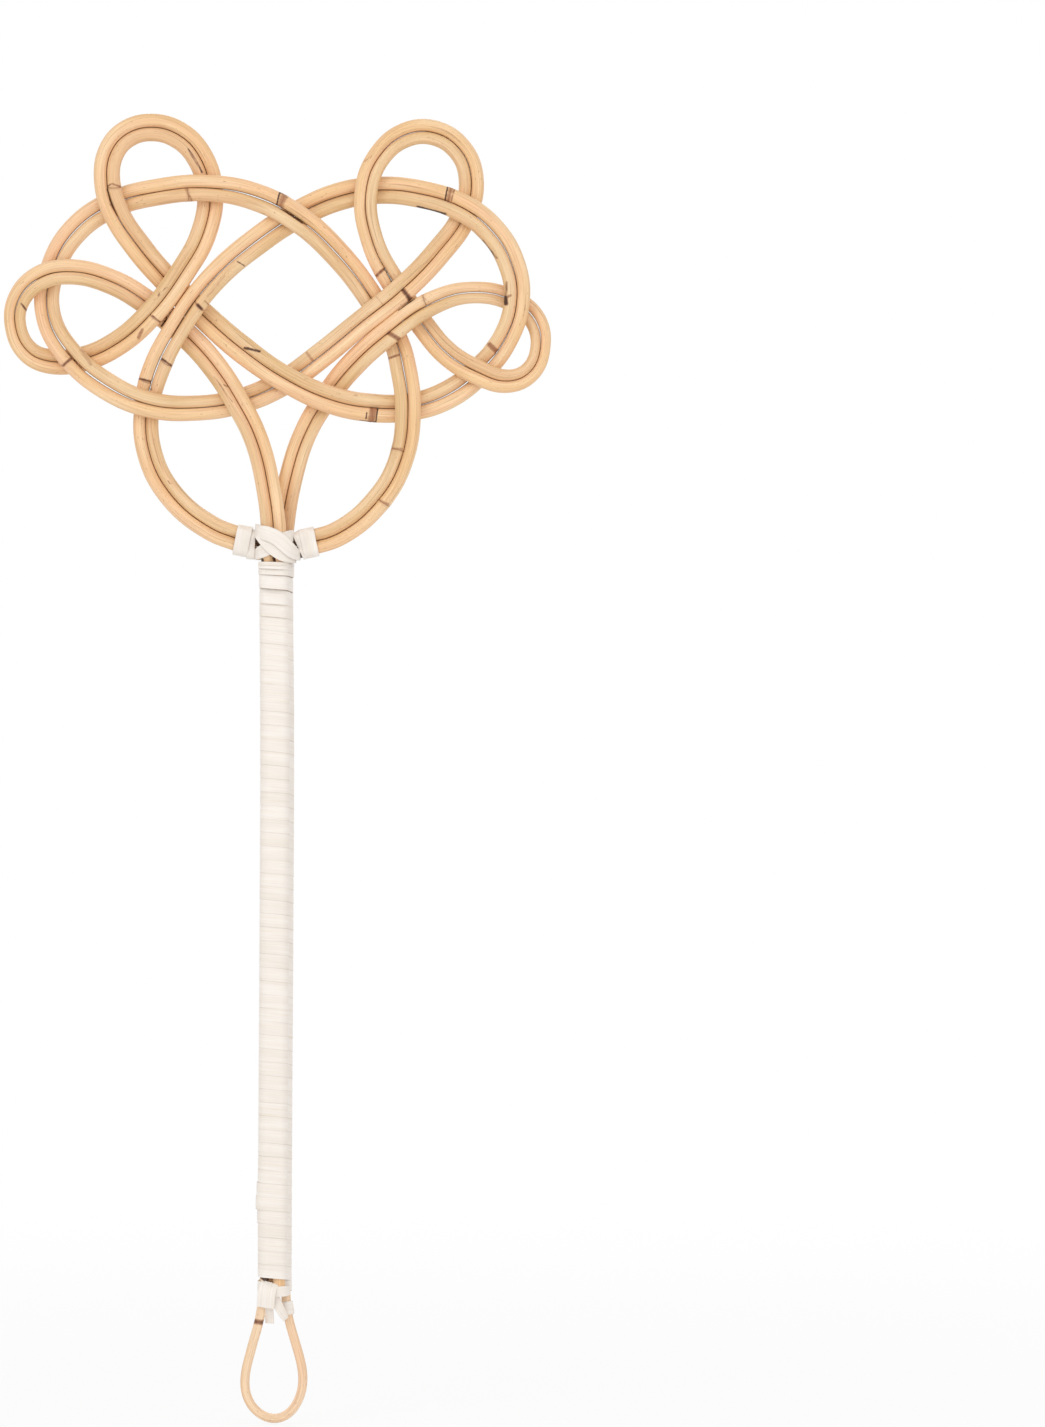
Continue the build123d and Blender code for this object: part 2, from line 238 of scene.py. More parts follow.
# the handle isn't quite straight: how far it bows to the right, from its foot up
handle_bows = [
    (handle_end, -0.2 * mm), (handle_end + 60 * mm, 0), (handle_end + 180 * mm, 0.7 * mm),
    (bundle_top - 60 * mm, 1.05 * mm), (bundle_top, 0.6 * mm),
]
front_leg = [plain_place(bow - bundle_stagger, -bundle_depth, height) for height, bow in handle_bows]
front_leg += [plain_place(throat_left, -throat_depth, height) for height in (throat_low, throat_high)]
back_leg = [
    plain_place(throat_right, throat_depth, throat_high),
    plain_place(throat_low_right, throat_depth, throat_low),
]
back_leg += [plain_place(bow + bundle_stagger, bundle_depth, height) for height, bow in handle_bows[::-1]]
left_way = front_leg + [row_place(row) for row in left_length_rows]
left_way += [plain_place(-joint_gap / 2, 0, foot_height)]
right_way = [plain_place(joint_gap / 2, 0, foot_height)]
right_way += [row_place(row) for row in right_length_rows] + back_leg
print("places", len(left_way), len(right_way))

# %% [markdown]
# A Bezier curve with automatic handles runs smoothly through the places. Blender can turn such a
# curve into a mesh of short straight edges, and its vertices are then divided evenly, so that every
# later step can count its way along the cane.

# %% A smooth line through the places
step = 0.5 * mm
curve_resolution = 24
softened_steps = 5


def show_only(thing):
    """Deselects everything but one object, which operators then act on."""
    bpy.ops.object.select_all(action="DESELECT")
    thing.select_set(True)
    bpy.context.view_layer.objects.active = thing


def running_length(points):
    """How far along a line each of its points is; only the first columns are places."""
    runs = np.linalg.norm(np.diff(points[:, :3], axis=0), axis=1)
    return np.concatenate([[0], np.cumsum(runs)])


def divided(points, places):
    """The line's points at the given lengths along it."""
    so_far = running_length(points)
    columns = [np.interp(places, so_far, points[:, index]) for index in range(points.shape[1])]
    return np.stack(columns, axis=1)


def softened(points, reach):
    """The line with its small kinks evened out; the ends stay where they are."""
    offsets = np.arange(-3 * reach, 3 * reach + 1)
    weights = np.exp(-0.5 * (offsets / reach) ** 2)
    weights /= weights.sum()
    middle = points.copy()
    for index in range(points.shape[1]):
        spread = np.pad(points[:, index], 3 * reach, mode="reflect", reflect_type="odd")
        middle[:, index] = np.convolve(spread, weights, mode="valid")
    return middle


def smooth_line(way):
    """Evenly divided points of a smooth line: x, y, z, the slit between the canes, and the girth."""
    bpy.ops.curve.primitive_bezier_curve_add()
    guide = bpy.context.object
    guide.data.dimensions = "3D"
    guide.data.resolution_u = curve_resolution
    guide.data.splines.clear()
    spline = guide.data.splines.new("BEZIER")
    spline.bezier_points.add(len(way) - 1)
    for point, (place, *_) in zip(spline.bezier_points, way):
        point.co = place
        point.handle_left_type = "AUTO"
        point.handle_right_type = "AUTO"
    bpy.context.view_layer.update()
    drawn = bpy.data.meshes.new_from_object(guide)
    points = np.array([vertex.co[:] for vertex in drawn.vertices])
    bpy.data.objects.remove(guide)
    so_far = running_length(points)
    marks = [so_far[np.argmin(np.linalg.norm(points - np.array(row[0]), axis=1))] for row in way]
    marks = np.maximum.accumulate(marks)
    slit = np.interp(so_far, marks, [row[1] for row in way])
    girth = np.interp(so_far, marks, [row[2] for row in way])
    line = np.column_stack([points, slit, girth])
    count = int(so_far[-1] / step) + 1
    return softened(divided(line, np.linspace(0, so_far[-1], count)), softened_steps)


left_line = smooth_line(left_way)
right_line = smooth_line(right_way)
print("pair lengths", round(running_length(left_line)[-1], 3), round(running_length(right_line)[-1], 3))

# %% [markdown]
# Each way becomes two lines, half the pair's spacing to its left and to its right. Where the picture
# shows a slit of light between the canes, the spacing grows a little.

# %% The canes' own lines


def unit(rows):
    """The rows of an array, each brought to length 1."""
    return rows / np.linalg.norm(rows, axis=1)[:, None]


def beside(line, side):
    """The line of one cane: side is +1 for the left of the way and -1 for the right."""
    ahead = unit(np.gradient(line[:, [0, 2]], axis=0))
    shift = side * (pair_spacing * line[:, 4] + line[:, 3]) / 2
    moved = line.copy()
    moved[:, 0] -= ahead[:, 1] * shift
    moved[:, 2] += ahead[:, 0] * shift
    return moved


cane_lines = {
    "left_outer_cane": beside(left_line, -1),
    "left_inner_cane": beside(left_line, 1),
    "right_outer_cane": beside(right_line, -1),
    "right_inner_cane": beside(right_line, 1),
}
for name in ("left_inner_cane", "right_inner_cane"):
    line = cane_lines[name]
    cane_lines[name] = line[line[:, 2] > tuck_height]
for name, line in cane_lines.items():
    print(name, "length", round(running_length(line)[-1], 3))

# %% [markdown]
# Cane is a stem, so it has joints: a low swelling with a fine groove round it, every so often. It
# also has scars where the outer skin was rubbed or split at a tight bend. They are written down by
# their place in the picture, and the script finds the cane that lies in front there. The same list
# also holds dark marks that paint shade on the cane deep in the lashing's holes.

# %% Joints and scars
joint_rings = [
    # column, row, slant of the groove
    (113, 188, 0.3), (188, 194, -0.2), (157, 319, 0.3),
    (201, 307, 0.4), (166, 361, 0.3), (146, 380, -0.2), (382, 272, 0.3), (409, 296, 0.3),
    (425, 300, -0.3), (397, 449, 0.1), (384, 502, 0.2), (492.5, 347.5, 0.3),
    (450, 195, 0.3), (282, 200, 0.3), (372, 414, 0.2), (66, 363, -0.3),
]
scars_and_shade_marks = [
    # from column, row to column, row, width in pixels, brown, dark
    (280.6, 207, 285, 195.5, 4, 0.65, 0), (277.4, 205, 280, 193.4, 1, 0.6, 0.9),
    (280, 193.4, 288, 199, 0.8, 0.5, 0.6), (281, 209, 303, 224, 1.2, 0.5, 0.9),
    (451.3, 188.5, 448.6, 200.3, 2.4, 0.65, 0), (447.8, 187, 445.6, 199.4, 1, 0.5, 0.9),
    (454.6, 190, 451.8, 201.2, 0.9, 0.7, 0.5), (373.3, 408.8, 371.2, 420.5, 3.8, 0.8, 0.1),
    (377.6, 409, 375.9, 420.5, 0.9, 0.6, 0.8), (366.8, 413, 366, 418.4, 1, 0.5, 0.8),
    (359.5, 420, 376, 421, 0.8, 0.6, 0.5), (108.5, 187, 113, 184.8, 1.1, 0.6, 0.5),
    (113, 184.8, 120.5, 187.6, 1.1, 0.7, 0.4), (107.8, 190, 111, 203, 0.8, 0.4, 0.7),
    (112, 205, 119, 217, 1.6, 0.8, 0.6), (185, 188, 192, 200, 1.5, 0.6, 0.35),
    (21.5, 304, 27.5, 311, 1.3, 0.7, 0.6), (64.5, 366, 72, 358.5, 1.5, 0.75, 0.5),
    (66.5, 357, 71, 359.5, 1, 0.5, 0.3), (82, 351, 92, 365, 2.2, 0.5, 0.1),
    (153, 316.4, 161, 323, 1, 0.7, 0.5), (161, 326, 166.5, 318.8, 1, 0.4, 0.9),
    (143, 330.5, 139, 338, 1.8, 0.8, 0.3), (158, 296, 168, 288, 0.9, 0.6, 0.5),
    (155, 301, 161, 296, 0.9, 0.6, 0.4), (198, 305.5, 202, 309.5, 1.8, 0.9, 0.7),
    (205, 301, 209.5, 306, 0.9, 0.6, 0.4),
    (237.5, 262, 244.5, 266, 1, 0.5, 0.7), (208, 297, 225, 277, 1.2, 0.5, 0.1),
    (160.3, 357.6, 171, 365.5, 1.5, 0.7, 0.6), (139.5, 378.6, 151.5, 381.6, 1.5, 0.7, 0.6),
    (149, 386, 151, 389, 1.6, 0.5, 0.5), (245, 348, 260, 352, 1.6, 0.6, 0.75),
    (224, 385, 228, 387, 1.2, 0.5, 0.5), (214, 377, 224, 390, 0.8, 0.7, 0.3),
    (219, 383, 233, 403, 0.8, 0.7, 0.35), (168.3, 481, 170.5, 483.5, 0.9, 0.7, 0.4),
    (188, 149, 202, 172, 1.3, 0.6, 0.6), (376.5, 275.5, 385, 268, 1.6, 0.8, 0.45),
    (385, 268, 392, 281, 1, 0.4, 0.8), (364, 162, 372, 157, 1, 0.6, 0.3), (376, 297, 383, 305, 0.9, 0.5, 0.3),
    (403.5, 291, 411, 301.3, 2.4, 0.95, 0.6), (398.5, 311, 414.5, 299, 0.9, 0.3, 0.8),
    (422.5, 297.5, 429, 302.5, 1, 0.5, 0.4),
    (388, 333, 401, 341, 2.2, 0.95, 0.45), (388.6, 358.4, 399, 354.8, 1.4, 0.7, 0.4),
    (392, 449, 402, 449, 1.3, 0.6, 0.2), (380, 501, 388, 504, 1.4, 0.6, 0.2),
    (307, 353, 313, 361, 1.6, 0.6, 0.2), (506.7, 283, 505.8, 303, 1.6, 0.6, 0.5),
    (505.5, 298, 506, 304, 2.6, 0.7, 0.8), (506, 299, 511, 296, 1.2, 0.8, 0.3),
    (490, 345, 496.5, 351.5, 2.6, 0.85, 0.2), (417, 206, 447, 214.5, 1.3, 0.6, 0.7),
    (483, 241, 497, 259, 1.6, 0.5, 0.5), (337, 394, 340, 394, 1.2, 0.5, 0.4),
    (354, 396, 357, 396, 1.2, 0.5, 0.4), (305, 380, 308, 380, 1.2, 0.4, 0.3),
    # painted shade: dark marks for the cane deep in the holes of the lashing
    (258, 538, 260, 546, 4.5, 0, 1), (259, 559, 262, 561, 3.5, 0, 1), (273.5, 556, 275, 562, 2, 0, 1),
    (289, 532, 300, 551, 4, 0, 1), (293, 542, 304, 561, 4, 0, 1),
]
front_reach = 1.2 * cane_radius
same_stretch_steps = 20


def front_cane(column, line_row):
    """The cane that lies in front at a place of the picture, and how far along it that is."""
    found = (math.inf, None, None)
    for name, line in cane_lines.items():
        near = np.hypot(line[:, 0] - across(column), line[:, 2] - up(line_row))
        close = near < front_reach
        if close.any():
            places = np.flatnonzero(close)
            front = places[np.argmin(line[places, 1])]
            same = places[np.abs(places - front) < same_stretch_steps]
            nearest = same[np.argmin(near[same])]
            if line[front, 1] < found[0]:
                found = (line[front, 1], name, nearest)
    return found[1], found[2]


rings_on = {name: [] for name in cane_lines}
scars_and_shade_on = {name: [] for name in cane_lines}
for column, row, slant in joint_rings:
    name, index = front_cane(column, row)
    if name:
        rings_on[name].append((running_length(cane_lines[name])[index], slant))
for mark_row in scars_and_shade_marks:
    name, index = front_cane((mark_row[0] + mark_row[2]) / 2, (mark_row[1] + mark_row[3]) / 2)
    if name:
        scars_and_shade_on[name].append((running_length(cane_lines[name])[index], mark_row))
print({name: (len(rings_on[name]), len(scars_and_shade_on[name])) for name in cane_lines})

# %% [markdown]
# A cane could be drawn with a curve's bevel alone, but its joints need more vertices than the plain
# stretches between them. So the line is first divided into stations, close together at the joints and
# scars. The curve with a round bevel is then turned into a mesh, whose vertices come ring by ring.

# %% Round canes from lines
around = 24
slow_swell = 0.022
oval_swell = 0.02
fine_step = 0.4 * mm
plain_step = 1.6 * mm
hidden_step = 6 * mm
fine_reach = 5 * mm
step_growth = 0.3
hidden_low = handle_end + 20 * mm
hidden_high = bundle_top - 10 * mm
ring_swell = 0.055
ring_swell_reach = 2.4 * mm
ring_groove = 0.05
ring_groove_reach = 0.45 * mm
dark_mark_sink = 0.05
mark_reach = 18 * mm


def tube(name, line, radius):
    """A round tube along a line, its vertices ring by ring, its ends closed."""
    bpy.ops.curve.primitive_nurbs_path_add()
    thing = bpy.context.object
    thing.name = name
    curve = thing.data
    curve.dimensions = "3D"
    curve.splines.clear()
    spline = curve.splines.new("POLY")
    spline.points.add(len(line) - 1)
    for point, place in zip(spline.points, line):
        point.co = (*place, 1)
    curve.twist_mode = "MINIMUM"
    curve.bevel_depth = radius
    curve.bevel_resolution = around // 2 - 2
    show_only(thing)
    bpy.ops.object.convert(target="MESH")
    bpy.ops.object.mode_set(mode="EDIT")
    bpy.ops.mesh.select_all(action="SELECT")
    bpy.ops.mesh.fill_holes(sides=0)
    bpy.ops.mesh.normals_make_consistent(inside=False)
    bpy.ops.object.mode_set(mode="OBJECT")
    bpy.ops.object.shade_smooth_by_angle(angle=math.radians(50))
    return thing


def vertex_places(thing):
    """The object's vertices as an array."""
    flat = np.empty(len(thing.data.vertices) * 3)
    thing.data.vertices.foreach_get("co", flat)
    return flat.reshape(-1, 3)


def move_vertices(thing, places):
    """Puts the object's vertices at the places of an array."""
    thing.data.vertices.foreach_set("co", places.ravel())
    thing.data.update()


def note(thing, name, values):
    """Keeps a number or a vector for each vertex under a name that a material can read."""
    vector = values.ndim == 2
    kept = thing.data.attributes.new(name, "FLOAT_VECTOR" if vector else "FLOAT", "POINT")
    kept.data.foreach_set("vector" if vector else "value", values.astype(np.float32).ravel())


def stations(line, special):
    """Lengths along a line where its rings of vertices go: close together at the special places."""
    so_far = running_length(line)
    places = [0.0]
    while places[-1] < so_far[-1] - 1e-9:
        near = min((abs(places[-1] - place) for place in special), default=1)
        grown = fine_step + max(near - fine_reach, 0) * step_growth
        hidden = hidden_low < np.interp(places[-1], so_far, line[:, 2]) < hidden_high
        widest = hidden_step if hidden else plain_step
        places.append(min(places[-1] + min(grown, widest), so_far[-1]))
    return np.array(places)


def cane(name, line, radius, seed, rings=(), marks=(), side=0):
    """A cane with its slow unevenness, joints, scars and painted shade; side says where its partner isn't."""
    special = [place for place, _ in rings] + [place for place, _ in marks]
    lengths = stations(line[:, :3], special)
    centres = divided(line[:, :3], lengths)
    girth = np.repeat(np.interp(lengths, running_length(line), line[:, 4]), around)
    thing = tube(name, centres, radius)
    places = vertex_places(thing)
    centre = np.repeat(centres, around, axis=0)
    along = np.repeat(lengths, around)
    outward = unit(places - centre)
    turn = np.tile(np.arange(around) * math.tau / around, len(lengths))
    slow = np.array([noise((value * 22, seed, 0)) for value in lengths])
    oval = np.array([noise((value * 14, seed, 7)) for value in lengths])
    swell = slow_swell * np.repeat(slow, around)
    swell += oval_swell * np.repeat(oval, around) * np.cos(2 * turn)
    from_ring = np.full(len(places), 1.0)
    for place, slant in rings:
        distance = along - place - slant * radius * np.cos(turn + seed)
        swell += ring_swell * np.exp(-(distance / ring_swell_reach) ** 2)
        swell -= ring_groove * np.exp(-(distance / ring_groove_reach) ** 2)
        nearer = np.abs(distance) < np.abs(from_ring)
        from_ring[nearer] = distance[nearer]
    brown = np.zeros(len(places))
    dark = np.zeros(len(places))
    # the marks paint brown and dark scars, and also dark painted shade deep in the holes of the bindings
    for place, (column, row, end_column, end_row, width, how_brown, how_dark) in marks:
        start = np.array([across(column), up(row)])
        run = np.array([across(end_column), up(end_row)]) - start
        flat = places[:, [0, 2]] - start
        share = np.clip(flat @ run / max(run @ run, 1e-12), 0, 1)
        distance = np.linalg.norm(flat - share[:, None] * run, axis=1) / (width * pixel)
        here = (np.abs(along - place) < mark_reach) & (outward[:, 1] < 0.25)
        strength = np.clip(1.6 - distance, 0, 1) * here
        brown = np.maximum(brown, strength * how_brown)
        dark = np.maximum(dark, np.clip(1.3 - distance, 0, 1) * here * how_dark)
    swell -= dark_mark_sink * dark
    move_vertices(thing, centre + outward * (radius * girth * (1 + swell))[:, None])
    ahead = np.repeat(unit(np.gradient(centres[:, [0, 2]], axis=0)), around, axis=0)
    # to_partner is what the finish darkens as painted shade along the seam between a pair's canes
    note(thing, "to_partner", side * (outward[:, 0] * ahead[:, 1] - outward[:, 2] * ahead[:, 0]))
    note(thing, "straight", np.column_stack([np.cos(turn) * radius, np.sin(turn) * radius, along + seed]))
    note(thing, "from_ring", from_ring)
    note(thing, "brown", brown)
    note(thing, "dark", dark)
    return thing


canes = {}
for seed, (name, line) in enumerate(cane_lines.items()):
    side = 1 if "inner" in name else -1
    canes[name] = cane(name, line, cane_radius, 3 * seed + 1, rings_on[name], scars_and_shade_on[name], side)
    print(name, "vertices", len(canes[name].data.vertices))

# %% [markdown]
# A thinner cane is bent into a teardrop, and its two legs go up inside the binding. It hangs the
# beater on a nail.

# %% Hanging loop
loop_radius = 2.3 * mm
loop_depth = 3 * mm
leg_foot = up(1270)
loop_rows = [
    (262.3, 1303, 0.8), (258.8, 1322, 0.25), (251, 1350, 0), (244.7, 1381, 0), (247, 1397, 0),
    (255, 1410, 0), (268, 1418, 0), (275, 1419, 0), (287, 1415, 0), (297, 1403, 0),
    (302.5, 1386, 0), (302.3, 1370, 0), (297.5, 1350, -0.1), (291.5, 1330, -0.3),
    (287.3, 1313, -0.6),
]
leg_reach = bundle_stagger + pair_spacing / 2 + cane_radius - loop_radius
left_leg = [Vector((-leg_reach, -bundle_depth, height)) for height in (tuck_height, leg_foot)]
right_leg = [Vector((leg_reach, bundle_depth, height)) for height in (leg_foot, tuck_height)]
loop_middle = [Vector((across(column), -over * loop_depth, up(row))) for column, row, over in loop_rows]
loop_way = [(place, 0, 1) for place in left_leg + loop_middle + right_leg]
loop_line = smooth_line(loop_way)
# the first mark is a joint; the other two paint shade on the loop's legs deep in gaps of the bindings
loop_scars_and_shade = [
    (255.5, 1321, 263, 1322, 2.6, 0.9, 0.5), (264, 1276, 273, 1282, 4, 0, 1),
    (277.4, 1297, 279.4, 1297, 2.4, 0, 1),
]
loop_marks = []
for mark_row in loop_scars_and_shade:
    near = np.hypot(loop_line[:, 0] - across(mark_row[0]), loop_line[:, 2] - up(mark_row[1]))
    loop_marks.append((running_length(loop_line)[np.argmin(near)], mark_row))
hanging_loop = cane("loop", loop_line, loop_radius, 17, (), loop_marks)
print("loop length", round(running_length(loop_line)[-1], 3))

# %% [markdown]
# The bindings are one flat strip of split cane, wound tight. A taut strip takes the shortest way
# round what it binds: an arc on each cane and a straight run between them. That outline is worked
# out first, and divided evenly.

# %% Outline of a taut strip


def outline(circles, reach, count):
    """Closed outline round circles of one radius, as evenly spaced points, from the back centre on."""
    angles = math.pi / 2 + np.arange(720) * math.tau / 720
    ways = np.column_stack([np.cos(angles), np.sin(angles)])
    centres = np.array(circles)
    furthest = np.argmax(ways @ centres.T, axis=1)
    edge = centres[furthest] + ways * reach
    edge = np.vstack([edge, edge[:1]])
    so_far = running_length(edge)
    return divided(edge, np.linspace(0, so_far[-1], count + 1)[:-1])


left_low = left_line[:np.argmax(left_line[:, 2] > foot_height)]
right_low = right_line[::-1][:np.argmax(right_line[::-1, 2] > foot_height)]


def handle_circles(height):
    """Centres of the handle's four canes at a height, seen along the handle."""
    circles = []
    for low in (left_low, right_low):
        middle = np.interp(height, low[:, 2], low[:, 0])
        depth = np.interp(height, low[:, 2], low[:, 1])
        circles += [(middle - pair_spacing / 2, depth), (middle + pair_spacing / 2, depth)]
    return circles


outline_points = 96
handle_rings = {}


def handle_ring(height, reach):
    """Outline of the handle at a height, between two outlines one millimetre apart."""
    lower = math.floor(height / mm)
    for number in (lower, lower + 1):
        if (number, reach) not in handle_rings:
            handle_rings[number, reach] = outline(handle_circles(number * mm), reach, outline_points)
    share = height / mm - lower
    return handle_rings[lower, reach] * (1 - share) + handle_rings[lower + 1, reach] * share


print("outline size", np.round(np.ptp(handle_ring(0, cane_radius), axis=0), 4))

# %% [markdown]
# A strip starts as a long flat grid. Its vertices are then wound round the outline, turn by turn, and
# Solidify and Bevel give it a thickness and softened edges. Each turn's lower edge stands a little
# proud, as a strip does that was wound tight against its neighbour.

# %% Winding a strip
strip_columns = 5
strip_thickness = 0.45 * mm
strip_bevel = 0.1 * mm
strip_crown = 0.06 * mm
laid_crown = 0.4 * mm
side_way = np.array([1.0, 0, 0])
back_way = np.array([0, 1.0, 0])
up_way = np.array([0, 0, 1.0])


def thickened(thing, thickness):
    """Gives a thin sheet its thickness outwards, and soft edges."""
    show_only(thing)
    solidify = thing.modifiers.new("thickness", "SOLIDIFY")
    solidify.thickness = thickness
    solidify.offset = 1
    bpy.ops.object.modifier_apply(modifier=solidify.name)
    bevel = thing.modifiers.new("soft edges", "BEVEL")
    bevel.width = strip_bevel
    bevel.segments = 1
    bevel.limit_method = "ANGLE"
    bevel.angle_limit = math.radians(60)
    bpy.ops.object.modifier_apply(modifier=bevel.name)
    bpy.ops.object.shade_smooth_by_angle(angle=math.radians(40))


def wound_strip(name, turns, width_at, ring_at, thickness=strip_thickness, proud=0.1 * mm,
                uneven=0.15 * mm, seed=0, per_turn=48, hand=1):
    """A strip wound round what ring_at gives for a turn: an outline, its centre, and its three ways."""
    count = int(turns * per_turn)
    bpy.ops.mesh.primitive_grid_add(x_subdivisions=count, y_subdivisions=strip_columns - 1, size=1)
    thing = bpy.context.object
    thing.name = name
    places = np.empty(((count + 1) * strip_columns, 3))
    pattern = np.empty_like(places)
    so_far = 0
    before = None
    for index in range(count + 1):
        done = index / per_turn
        points, centre, side, back, axis = ring_at(done)
        at = (hand * done % 1) * len(points)
        low = int(at) % len(points)
        high = (low + 1) % len(points)
        tangent = points[high] - points[low]
        spot = points[low] + tangent * (at - int(at))
        normal = np.array([tangent[1], -tangent[0]]) / np.linalg.norm(tangent)
        so_far += 0 if before is None else np.linalg.norm(spot - before)
        before = spot
        wobble = noise((done * 3.1, seed, 3)) * uneven
        for column in range(strip_columns):
            share = column / (strip_columns - 1)
            across_share = share if hand > 0 else 1 - share
            edge = noise((done * 9, seed + 5 * across_share, 11)) * uneven * 0.5
            crown = strip_crown * (1.6 - (2 * share - 1) ** 2 + noise((done * 5, seed, 21)))
            out = proud * (1 - across_share) + crown
            rise = (across_share - 0.5) * width_at(done) + wobble + edge
            flat = spot + normal * out
            row = column * (count + 1) + index
            places[row] = centre + side * flat[0] + back * flat[1] + axis * rise
            pattern[row] = (so_far, share * width_at(done), seed + int(done + 0.25))
    move_vertices(thing, places)
    note(thing, "strip", pattern)
    note(thing, "share", np.repeat(np.linspace(0, 1, strip_columns), count + 1))
    thickened(thing, thickness)
    return thing


def laid_strip(name, rows, width, seed):
    """A strip laid along places: column, row, depth in millimetres and, where it narrows, by how much."""
    way = []
    for column, row, depth, *narrowed in rows:
        way.append((Vector((across(column), depth * mm, up(row))), 0, *(narrowed or [1])))
    line = smooth_line(way)
    widths = width * line[:, 4]
    line = line[:, :3]
    bpy.ops.mesh.primitive_grid_add(x_subdivisions=len(line) - 1, y_subdivisions=strip_columns - 1, size=1)
    thing = bpy.context.object
    ahead = unit(np.gradient(line, axis=0))
    outward = line * np.array([1 / 3, 1, 0])
    facing = unit(np.cross(ahead, np.cross(outward, ahead)))
    beside_it = np.cross(facing, ahead)
    so_far = running_length(line)
    places = []
    pattern = []
    for column in range(strip_columns):
        share = column / (strip_columns - 1)
        aside = beside_it * ((share - 0.5) * widths)[:, None]
        places.append(line + aside - facing * (share - 0.5) ** 2 * laid_crown)
        pattern.append(np.column_stack([so_far, share * widths, 0 * so_far + seed]))
    move_vertices(thing, np.vstack(places))
    note(thing, "strip", np.vstack(pattern))
    note(thing, "share", np.repeat(np.linspace(0, 1, strip_columns), len(line)))
    thickened(thing, strip_thickness)
    thing.name = name
    return thing


def joined(name, *things):
    """Several strips as one piece."""
    show_only(things[0])
    for thing in things:
        thing.select_set(True)
    bpy.ops.object.join()
    things[0].name = name
    return things[0]


print("strip of", strip_columns, "columns of vertices")

# %% [markdown]
# The grip's winding runs from under the crossing to the handle's foot, about fifty turns, each a
# strip's width below the last. In front the turns fall to the right, and behind they fall faster.

# %% Grip winding
grip_top = up(572.8)
grip_foot = up(1280)
grip_turns = 52
grip_pitch = (grip_top - grip_foot) / (grip_turns + 0.5)
grip_padding = 0.45 * mm
front_slowing = 0.4
spread_turn = 1.3
spread_reach = 0.6
spread_share = 0.1
bulge_row = 1199
bulge_reach = 8 * mm
bulge_depth = 1.2 * mm


def grip_ring(done):
    """The bundle's outline at a turn, with the slight thickening near the left foot."""
    fallen = done + 0.25 + front_slowing * math.sin(math.tau * done) / math.tau
    height = grip_top - grip_pitch * fallen
    points = handle_ring(height + grip_pitch / 2, cane_radius + grip_padding).copy()
    bulge = math.exp(-((height - up(bulge_row)) / bulge_reach) ** 2) * bulge_depth
    points[:, 0] -= bulge * np.clip(-points[:, 0] / bulge_reach, 0, 1)
    return points, up_way * height, side_way, back_way, up_way


def grip_width(done):
    """About a turn's fall, and more where the bundle narrows under the throat."""
    spread = spread_share * math.exp(-(((done - spread_turn) / spread_reach) ** 2))
    return grip_pitch * (1.005 + spread + 0.015 * noise((done * 1.7, 2, 5)))


grip_winding = wound_strip("winding", grip_turns, grip_width, grip_ring, uneven=0.1 * mm, seed=2)
print("grip turns", grip_turns, "of", round(grip_pitch / mm, 2), "mm each")

# %% [markdown]
# Just under the crossing the canes still stand apart, front pair and back pair. The first turns are
# narrow there. In front they end where the grip's winding starts, and behind they lie over its top.

# %% Throat binding
throat_rows = [563, 565.4, 570, 575.5]
throat_widths = [1.7 * mm, 1.7 * mm, 2.3 * mm, 3.6 * mm]
throat_padding = 0.8 * mm


def throat_ring(done):
    height = up(np.interp(done, range(len(throat_rows)), throat_rows))
    return handle_ring(height, cane_radius + throat_padding), up_way * height, side_way, back_way, up_way


def throat_width(done):
    return np.interp(done, range(len(throat_rows)), throat_widths)


throat_turns = len(throat_rows) - 1
throat_binding = wound_strip("throat", throat_turns, throat_width, throat_ring, uneven=0.05 * mm, seed=4)
print("throat turns at rows", throat_rows)

# %% [markdown]
# Beside the crossing, collars of the same strip hold the two canes of the ring together: on each
# side a wide turn, and a narrower one under its edge.

# %% Collars
collar_circles = [(-pair_spacing / 2, 0), (pair_spacing / 2, 0)]
collar_turns = 1.15
collar_thickness = 0.5 * mm
collar_steps = 8
collar_growth = 0.05


def collar(name, line, column, row, width, lean, padding, seed):
    """A turn of strip round a pair of canes; lean is how far its top tips to the right, in degrees."""
    near = np.argmin(np.hypot(line[:, 0] - across(column), line[:, 2] - up(row)))
    along = line[near - collar_steps, :3] - line[near + collar_steps, :3]
    along /= np.linalg.norm(along)
    axis = np.array([-math.cos(math.radians(lean)), 0, math.sin(math.radians(lean))])
    side = np.cross(back_way, axis)
    points = outline(collar_circles, cane_radius + padding, outline_points)
    points[:, 0] /= abs(np.cross(along, back_way) @ side)

    def ring(done):
        return points * (1 + collar_growth * done), line[near, :3], side, back_way, axis

    return wound_strip(name, collar_turns, lambda done: width, ring, thickness=collar_thickness, seed=seed)


left_collar = joined(
    "left_ring_collar",
    collar("left_wide", left_line, 242.9, 540, 7.4 * mm, 11, 0.5 * mm, 6),
    collar("left_under", left_line, 251.3, 543.8, 4.2 * mm, 2, 0, 16),
)
right_collar = joined(
    "right_ring_collar",
    collar("right_wide", right_line, 308.9, 542.6, 7.6 * mm, -12, 0.4 * mm, 7),
    collar("right_under", right_line, 302, 544, 4.6 * mm, -25, 0.05 * mm, 17),
)
print("collars", left_collar.name, right_collar.name)

# %% [markdown]
# Slanting turns cross over the middle and pull everything together. The rising one lies underneath
# and two falling ones over it. The way of each is a list of places with a depth: it starts behind,
# comes round the left side, crosses the front, tucks in on the right and ends behind again.

